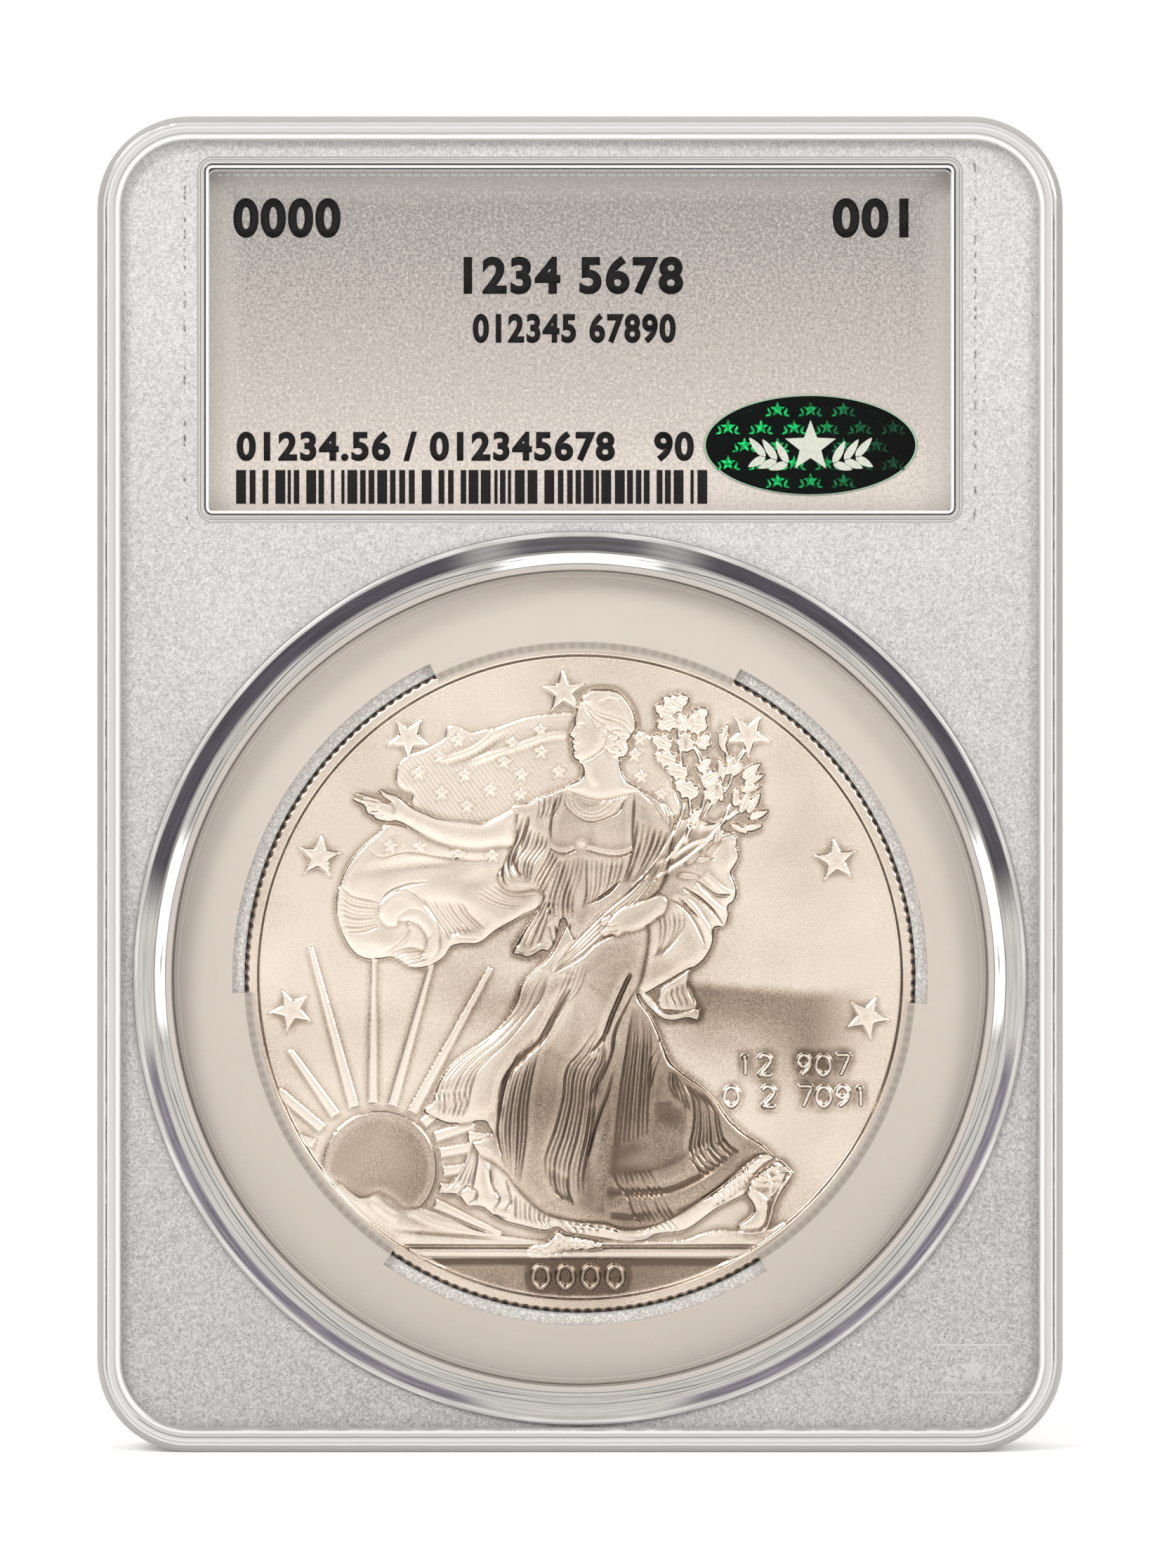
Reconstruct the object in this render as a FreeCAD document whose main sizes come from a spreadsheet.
"""Graded coin slab: two clear polystyrene shells, welded all round, that hold a reeded silver coin
in a three-prong insert ring below a printed label card with a foil seal.

The slab stands upright: X is its width, Y its thickness with the front towards -Y, and Z its height.
The origin is the middle of its bottom edge, on the weld plane between the shells. All sizes are mm.
"""
import FreeCAD, Part
import math
import os
import re

import Sketcher
from FreeCAD import Placement, Rotation, Vector

SIZES = {
    # the slab's outside
    "slab_width": 58.3,
    "slab_height": 80.6,
    "shell_depth": 4.0,
    "corner_radius": 5.6,
    "edge_round": 0.6,
    "seam_chamfer": 0.12,
    # the raised rim round the field, and the field's plate
    "rim_width": 1.48,
    "rim_step": 0.8,
    "rim_round": 0.2,
    "plate": 1.5,
    # the perimeter wall and its welded tongue and groove
    "wall": 2.6,
    "tongue_inset": 0.9,
    "tongue_width": 0.8,
    "tongue_rise": 0.6,
    "weld_gap": 0.06,
    # the coin's window and the ring wall behind it
    "coin_rise": 28.58,
    "window_radius": 26.99,
    "window_step": 0.35,
    "window_round": 0.2,
    "pocket_radius": 25.0,
    # the label's window, the frame round its pocket and the rib that backs the card
    "label_rise": 67.12,
    "label_window_width": 45.56,
    "label_window_height": 21.44,
    "label_window_corner": 0.6,
    "label_pocket_width": 45.1,
    "label_pocket_height": 20.8,
    "label_pocket_corner": 0.5,
    "label_frame": 0.95,
    "rib_gap": 0.15,
    "rib_width": 0.8,
    # the label card and the foil seal on it
    "card_width": 44.9,
    "card_height": 20.6,
    "card_corner": 0.4,
    "card_thickness": 0.4,
    "card_setback": 0.12,
    "seal_width": 12.9,
    "seal_height": 6.05,
    "seal_thickness": 0.08,
    "seal_across": 13.96,
    "seal_above_coin": 32.24,
    # the coin
    "coin_radius": 20.3,
    "coin_thickness": 2.98,
    "coin_field_radius": 19.45,
    "coin_field_depth": 0.22,
    "reed_depth": 0.16,
    "reeds": 201,
    "cut_margin": 1.0,
    # the insert ring
    "insert_radius": 24.95,
    "insert_thickness": 3.36,
    "insert_bore": 21.06,
    "insert_chamfer": 0.35,
    "web_bore": 20.42,
    "web_thickness": 2.2,
    "prong_lip_radius": 19.77,
    "prong_slot_radius": 20.35,
    "prong_slot_width": 3.02,
    "prong_root_radius": 22.06,
    "prong_half_angle": 26.5,
    "prong_turn": 0.9,
    "prongs": 3,
}

doc = FreeCAD.newDocument("graded_coin_slab")
sheet = doc.addObject("Spreadsheet::Sheet", "sizes")
for row, (alias, value) in enumerate(SIZES.items(), start=1):
    sheet.set(f"A{row}", alias)
    sheet.set(f"B{row}", str(value))
    sheet.setAlias(f"B{row}", alias)
doc.recompute()

# Half the height of the closed cavity, from the weld plane to the inside of a shell's plate.
CAVITY = "(shell_depth - rim_step - plate)"

# Edges that lie within this share of the slab's half sizes are on the inside of its rim.
INSIDE_RIM = 0.96

# Where each reed's foot, top, top and foot lie, as shares of the pitch.
REED_FOOT_START, REED_TOP_START, REED_TOP_END, REED_FOOT_END = 0.05, 0.25, 0.65, 0.85


def rule(text):
    """A FreeCAD expression from a rule written with the sheet's own names."""
    return re.sub(r"[a-z]+(_[a-z]+)*", lambda name: "sizes." + name.group(), text)


def bind(thing, **rules):
    """Ties properties or named sketch constraints of an object to rules on the sheet."""
    for path, text in rules.items():
        thing.setExpression(path, rule(text))


def new_body(node):
    body = doc.addObject("PartDesign::Body", node + "_body")
    body.Label = node
    return body


def sketch_on(body, name, distance="0"):
    """A sketch that faces the front, at a distance before the weld plane. Its X is X and its Y is Z."""
    sketch = body.newObject("Sketcher::SketchObject", name)
    plane = next(p for p in body.Origin.OriginFeatures if p.Role == "XZ_Plane")
    sketch.AttachmentSupport = [(plane, "")]
    sketch.MapMode = "FlatFace"
    sketch.setExpression("AttachmentOffset.Base.z", rule(distance))
    return sketch


def name_sizes(sketch, tag, constraints, rules):
    """Adds dimensional constraints, names them with a tag, and ties each to its rule."""
    for label, constraint in constraints.items():
        index = sketch.addConstraint(constraint)
        sketch.renameConstraint(index, tag + label)
        sketch.setExpression(f"Constraints.{tag}{label}", rule(rules[label]))


def rounded_rectangle(sketch, tag, width, height, radius, middle):
    """A rounded rectangle, centred on X = 0 and on Z = middle. Its four sizes are rules."""
    side, tall, low, arc = 20.0, 30.0, 10.0, 3.0
    right, top = side - arc, low + tall - arc
    bottom = low + arc
    corners = ((right, bottom, -90), (right, top, 0), (-right, top, 90), (-right, bottom, 180))
    ends = (
        ((-right, low), (right, low)),
        ((side, bottom), (side, top)),
        ((right, low + tall), (-right, low + tall)),
        ((-side, top), (-side, bottom)),
    )
    lines = [
        sketch.addGeometry(Part.LineSegment(Vector(*a, 0), Vector(*b, 0)), False) for a, b in ends
    ]
    arcs = []
    for x, z, start in corners:
        circle = Part.Circle(Vector(x, z, 0), Vector(0, 0, 1), arc)
        turn = math.radians(start)
        arcs.append(sketch.addGeometry(Part.ArcOfCircle(circle, turn, turn + math.pi / 2), False))
    for i in range(4):
        sketch.addConstraint(Sketcher.Constraint("Tangent", lines[i], 2, arcs[i], 1))
        sketch.addConstraint(Sketcher.Constraint("Tangent", arcs[i], 2, lines[(i + 1) % 4], 1))
        along = "Horizontal" if i % 2 == 0 else "Vertical"
        sketch.addConstraint(Sketcher.Constraint(along, lines[i]))
    for other in arcs[1:]:
        sketch.addConstraint(Sketcher.Constraint("Equal", arcs[0], other))
    name_sizes(
        sketch,
        tag,
        {
            "Radius": Sketcher.Constraint("Radius", arcs[0], arc),
            "Width": Sketcher.Constraint("DistanceX", lines[3], 1, lines[1], 1, 2 * side),
            "Height": Sketcher.Constraint("DistanceY", lines[0], 1, lines[2], 1, tall),
            "CornerX": Sketcher.Constraint("DistanceX", -1, 1, arcs[0], 3, right),
            "CornerZ": Sketcher.Constraint("DistanceY", -1, 1, arcs[0], 3, bottom),
        },
        {
            "Radius": radius,
            "Width": width,
            "Height": height,
            "CornerX": f"({width}) / 2 - ({radius})",
            "CornerZ": f"({middle}) - ({height}) / 2 + ({radius})",
        },
    )
    return sketch


def circle_round_coin(sketch, tag, radius):
    """A circle about the coin's axis."""
    circle = Part.Circle(Vector(0, SIZES["coin_rise"], 0), Vector(0, 0, 1), 10)
    index = sketch.addGeometry(circle, False)
    sketch.addConstraint(Sketcher.Constraint("PointOnObject", index, 3, -2))
    name_sizes(
        sketch,
        tag,
        {
            "Radius": Sketcher.Constraint("Radius", index, 10),
            "Rise": Sketcher.Constraint("DistanceY", -1, 1, index, 3, SIZES["coin_rise"]),
        },
        {"Radius": radius, "Rise": "coin_rise"},
    )
    return sketch


def circle_round_origin(sketch, tag, radius):
    """A circle about the origin of its body."""
    index = sketch.addGeometry(Part.Circle(Vector(0, 0, 0), Vector(0, 0, 1), 10), False)
    sketch.addConstraint(Sketcher.Constraint("Coincident", index, 3, -1, 1))
    name_sizes(sketch, tag, {"Radius": Sketcher.Constraint("Radius", index, 10)}, {"Radius": radius})
    return sketch


def grow(body, kind, sketch, length, forward):
    """A Pad or a Pocket of a sketch. forward means towards the front, -Y."""
    before = body.Shape.Volume if body.Tip else 0.0
    feature = body.newObject("PartDesign::" + kind, f"{sketch.Name}_{kind.lower()}")
    feature.Profile = sketch
    feature.Reversed = forward if kind == "Pocket" else not forward
    feature.setExpression("Length", rule(length))
    doc.recompute()
    gained = body.Shape.Volume - before
    if (gained > 0) != (kind == "Pad"):
        raise SystemExit(f"{feature.Name} changed the volume by {gained:.3f}, the wrong way")
    return feature


def dress(body, kind, edges, size):
    """A Fillet or Chamfer of the Tip's edges that pass a test, with its size tied to a cell."""
    base = body.Tip
    names = [f"Edge{i}" for i, edge in enumerate(base.Shape.Edges, start=1) if edges(edge)]
    if not names:
        raise SystemExit(f"no edges for {kind} {size} on {body.Label}")
    feature = body.newObject("PartDesign::" + kind, f"{base.Name}_{size}")
    feature.Base = (base, names)
    feature.setExpression("Radius" if kind == "Fillet" else "Size", rule(size))
    doc.recompute()
    return feature


def edges_in_plane(y, inside=None):
    """A test for edges in the plane Y = y, all of them or those within a share of the half sizes."""

    def passes(edge):
        box = edge.BoundBox
        if abs(box.YMin - y) > 1e-4 or abs(box.YMax - y) > 1e-4:
            return False
        reach = max(
            max(abs(box.XMin), abs(box.XMax)) / (SIZES["slab_width"] / 2),
            max(abs(z - SIZES["slab_height"] / 2) for z in (box.ZMin, box.ZMax))
            / (SIZES["slab_height"] / 2),
        )
        return inside is None or reach <= inside

    return passes


def shell(node, forward):
    """What the two shells share. forward is True for the front shell, which grows towards -Y."""
    body = new_body(node)
    sign = "" if forward else "-1 * "
    face = -1 if forward else 1

    def at(name, distance):
        return sketch_on(body, f"{node}_{name}", f"{sign}({distance})")

    def outline(name, distance, inset):
        return rounded_rectangle(
            at(name, distance),
            "Outline",
            f"slab_width - 2 * ({inset})",
            f"slab_height - 2 * ({inset})",
            f"corner_radius - ({inset})",
            "slab_height / 2",
        )

    outer_y = face * SIZES["shell_depth"]
    field = "shell_depth - rim_step"
    window_y = face * (SIZES["shell_depth"] - SIZES["rim_step"] + SIZES["window_step"])

    grow(body, "Pad", outline("block", "0", "0"), "shell_depth", forward)
    dress(body, "Fillet", edges_in_plane(outer_y), "edge_round")
    dress(body, "Chamfer", edges_in_plane(0), "seam_chamfer")
    grow(body, "Pocket", outline("field", "shell_depth", "rim_width"), "rim_step", not forward)
    dress(body, "Fillet", edges_in_plane(outer_y, inside=INSIDE_RIM), "rim_round")

    label_window = rounded_rectangle(
        at("label_window", field),
        "Window",
        "label_window_width",
        "label_window_height",
        "label_window_corner",
        "label_rise",
    )
    grow(body, "Pad", label_window, "window_step", forward)
    coin_window = circle_round_coin(at("coin_window", field), "Window", "window_radius")
    grow(body, "Pad", coin_window, "window_step", forward)
    dress(body, "Fillet", edges_in_plane(window_y), "window_round")

    grow(body, "Pocket", outline("cavity", "0", "wall"), CAVITY, forward)
    ring_wall = circle_round_coin(at("ring_wall", CAVITY), "Outer", "window_radius")
    circle_round_coin(ring_wall, "Inner", "pocket_radius")
    grow(body, "Pad", ring_wall, CAVITY, not forward)

    label_frame = rounded_rectangle(
        at("label_frame", CAVITY),
        "Outer",
        "label_pocket_width + 2 * label_frame",
        "label_pocket_height + 2 * label_frame",
        "label_pocket_corner + label_frame",
        "label_rise",
    )
    rounded_rectangle(
        label_frame,
        "Inner",
        "label_pocket_width",
        "label_pocket_height",
        "label_pocket_corner",
        "label_rise",
    )
    grow(body, "Pad", label_frame, CAVITY, not forward)
    return body


def weld_ring(body, name, gap):
    """The outline of the weld's tongue, or of its groove, which is wider by a gap on each side."""
    sketch = sketch_on(body, name)
    sides = {
        "Outer": f"tongue_inset - ({gap})",
        "Inner": f"tongue_inset + tongue_width + ({gap})",
    }
    for tag, inset in sides.items():
        rounded_rectangle(
            sketch,
            tag,
            f"slab_width - 2 * ({inset})",
            f"slab_height - 2 * ({inset})",
            f"corner_radius - ({inset})",
            "slab_height / 2",
        )
    return sketch


def make_front_shell():
    """The front shell: rim, field, both windows, ring wall, label frame and the weld's tongue."""
    body = shell("front_shell", True)
    grow(body, "Pad", weld_ring(body, "tongue", "0"), "tongue_rise", False)
    return body


def make_back_shell():
    """The back shell: as the front, with the weld's groove and the rib that backs the label card."""
    body = shell("back_shell", False)
    grow(body, "Pocket", weld_ring(body, "groove", "weld_gap"), "tongue_rise + weld_gap", False)
    rib = sketch_on(body, "label_rib", f"-1 * {CAVITY}")
    for tag, inset in {"Outer": "rib_gap", "Inner": "(rib_gap + rib_width)"}.items():
        rounded_rectangle(
            rib,
            tag,
            f"label_pocket_width - 2 * {inset}",
            f"label_pocket_height - 2 * {inset}",
            "label_pocket_corner",
            "label_rise",
        )
    reach = f"2 * {CAVITY} - card_setback - card_thickness"
    grow(body, "Pad", rib, reach, True)
    return body


def make_label_card():
    """The printed card, just behind the front shell's plate."""
    body = new_body("label_card")
    front = f"{CAVITY} - card_setback"
    sketch = rounded_rectangle(
        sketch_on(body, "card", front),
        "Card",
        "card_width",
        "card_height",
        "card_corner",
        "label_rise",
    )
    grow(body, "Pad", sketch, "card_thickness", False)
    return body


def make_foil_seal():
    """The oval foil seal stuck on the card's front, near its lower right corner."""
    body = new_body("foil_seal")
    sketch = sketch_on(body, "seal", f"{CAVITY} - card_setback")
    middle = Vector(SIZES["seal_across"], SIZES["coin_rise"] + SIZES["seal_above_coin"], 0)
    half_width, half_height = SIZES["seal_width"] / 2, SIZES["seal_height"] / 2
    oval = Part.Ellipse(
        middle + Vector(half_width, 0, 0), middle + Vector(0, half_height, 0), middle
    )
    index = sketch.addGeometry(oval, False)
    sketch.exposeInternalGeometry(index)
    long_axis, short_axis = index + 1, index + 2
    sketch.addConstraint(Sketcher.Constraint("Horizontal", long_axis))
    name_sizes(
        sketch,
        "Seal",
        {
            "Across": Sketcher.Constraint("DistanceX", -1, 1, index, 3, middle.x),
            "Rise": Sketcher.Constraint("DistanceY", -1, 1, index, 3, middle.y),
            "Width": Sketcher.Constraint("Distance", long_axis, 2 * half_width),
            "Height": Sketcher.Constraint("Distance", short_axis, 2 * half_height),
        },
        {
            "Across": "seal_across",
            "Rise": "coin_rise + seal_above_coin",
            "Width": "seal_width",
            "Height": "seal_height",
        },
    )
    grow(body, "Pad", sketch, "seal_thickness", True)
    return body


def make_coin_insert():
    """The ring that centres the coin: a flat annulus, a thinner web up to the coin's edge, and prongs."""
    body = new_body("insert_ring")
    half = "insert_thickness / 2"
    ring = circle_round_origin(sketch_on(body, "ring", f"-1 * ({half})"), "Outer", "insert_radius")
    circle_round_origin(ring, "Inner", "insert_bore")
    grow(body, "Pad", ring, "insert_thickness", True)

    web = sketch_on(body, "web", "-1 * (web_thickness / 2)")
    circle_round_origin(web, "Outer", "prong_root_radius")
    circle_round_origin(web, "Inner", "web_bore")
    grow(body, "Pad", web, "web_thickness", True)

    def outer_edges(edge):
        return edge.Length > 2 * math.pi * (SIZES["insert_radius"] - 0.01)

    dress(body, "Chamfer", outer_edges, "insert_chamfer")
    prong = grow(body, "Pad", prong_sketch(body, f"-1 * ({half})"), "insert_thickness", True)
    pattern = body.newObject("PartDesign::PolarPattern", "prong_ring")
    pattern.Originals = [prong]
    pattern.Axis = (ring, ["N_Axis"])
    pattern.Angle = 360
    pattern.setExpression("Occurrences", rule("prongs"))
    body.Tip = pattern
    body.setExpression("Placement.Base.z", rule("coin_rise"))
    doc.recompute()

    insert = doc.addObject("Part::Cut", "insert_cut")
    insert.Base = body
    insert.Tool = turned_cylinder(
        "rim_slot", "prong_slot_radius", "prong_slot_width", "prong_slot_width / 2"
    )
    insert.Label = "coin_insert"
    return insert


def prong_sketch(body, distance):
    """One prong: a sector from the lip over the coin's rim to a root inside the ring."""
    sketch = sketch_on(body, "prong", distance)
    reach = math.radians(SIZES["prong_half_angle"])
    first = math.radians(90 - SIZES["prong_turn"]) - reach
    last = first + 2 * reach
    radii = {"Lip": SIZES["prong_lip_radius"], "Root": SIZES["prong_root_radius"]}
    arcs = {}
    for tag, radius in radii.items():
        circle = Part.Circle(Vector(0, 0, 0), Vector(0, 0, 1), radius)
        arcs[tag] = sketch.addGeometry(Part.ArcOfCircle(circle, first, last), False)
        sketch.addConstraint(Sketcher.Constraint("Coincident", arcs[tag], 3, -1, 1))
    sides = {}
    for point, angle in ((1, first), (2, last)):
        ray = Vector(math.cos(angle), math.sin(angle), 0)
        line = Part.LineSegment(ray * radii["Lip"], ray * radii["Root"])
        sides[point] = sketch.addGeometry(line, False)
        sketch.addConstraint(Sketcher.Constraint("Coincident", arcs["Lip"], point, sides[point], 1))
        sketch.addConstraint(Sketcher.Constraint("Coincident", arcs["Root"], point, sides[point], 2))
        sketch.addConstraint(Sketcher.Constraint("PointOnObject", -1, 1, sides[point]))
    name_sizes(
        sketch,
        "Prong",
        {
            "Lip": Sketcher.Constraint("Radius", arcs["Lip"], radii["Lip"]),
            "Root": Sketcher.Constraint("Radius", arcs["Root"], radii["Root"]),
            "Spread": Sketcher.Constraint("Angle", sides[1], 1, sides[2], 1, 2 * reach),
            "Turn": Sketcher.Constraint("Angle", -1, 1, sides[1], 1, first),
        },
        {
            "Lip": "prong_lip_radius",
            "Root": "prong_root_radius",
            "Spread": "2 * prong_half_angle",
            "Turn": "90 - prong_turn - prong_half_angle",
        },
    )
    return sketch


def turned_cylinder(name, radius, length, front):
    """A cylinder about the coin's axis. It starts at the plane that lies front before the weld plane."""
    cylinder = doc.addObject("Part::Cylinder", name)
    bind(cylinder, Radius=radius, Height=length)
    cylinder.Placement = Placement(Vector(0, 0, 0), Rotation(Vector(1, 0, 0), -90))
    cylinder.setExpression("Placement.Base.y", rule(f"-1 * ({front})"))
    cylinder.setExpression("Placement.Base.z", rule("coin_rise"))
    return cylinder


def make_coin():
    """The coin: a reeded blank with a raised rim round the field on each face."""
    radius, root = SIZES["coin_radius"], SIZES["coin_radius"] - SIZES["reed_depth"]
    pitch = 2 * math.pi / SIZES["reeds"]
    points = []
    profile = (
        (REED_FOOT_START, root),
        (REED_TOP_START, radius),
        (REED_TOP_END, radius),
        (REED_FOOT_END, root),
    )
    for reed in range(int(SIZES["reeds"])):
        for share, reach in profile:
            angle = (reed + share) * pitch
            points.append(Vector(reach * math.sin(angle), 0, reach * math.cos(angle)))
    edge = Part.Face(Part.makePolygon(points + points[:1]))
    blank = doc.addObject("Part::Feature", "reeded_blank")
    blank.Shape = edge.extrude(Vector(0, SIZES["coin_thickness"], 0))
    blank.Placement = Placement(
        Vector(0, -SIZES["coin_thickness"] / 2, SIZES["coin_rise"]), Rotation()
    )
    recesses = doc.addObject("Part::MultiFuse", "coin_recesses")
    fronts = {
        "obverse": "coin_thickness / 2 + cut_margin",
        "reverse": "coin_field_depth - coin_thickness / 2",
    }
    recesses.Shapes = [
        turned_cylinder(name, "coin_field_radius", "coin_field_depth + cut_margin", front)
        for name, front in fronts.items()
    ]
    coin = doc.addObject("Part::Cut", "coin_cut")
    coin.Base = blank
    coin.Tool = recesses
    coin.Label = "coin"
    doc.recompute()
    return coin


nodes = [
    make_front_shell(),
    make_back_shell(),
    make_label_card(),
    make_foil_seal(),
    make_coin_insert(),
    make_coin(),
]
doc.recompute()

for thing in doc.Objects:
    if {"Invalid", "Error"} & set(thing.State):
        raise SystemExit(f"{thing.Name} failed: {thing.State}")
os.makedirs("parts", exist_ok=True)
for node in nodes:
    shape = node.Shape
    if shape.isNull() or not shape.isValid() or len(shape.Solids) != 1:
        raise SystemExit(f"{node.Label} is not one valid solid")
    shape.exportStep(f"parts/{node.Label}.step")
    box = shape.optimalBoundingBox()
    print(
        f"{node.Label}: {shape.Volume:.1f} mm3, {box.XLength:.2f} x {box.YLength:.2f} x {box.ZLength:.2f},"
        f" y {box.YMin:.2f} to {box.YMax:.2f}, z {box.ZMin:.2f} to {box.ZMax:.2f}"
    )
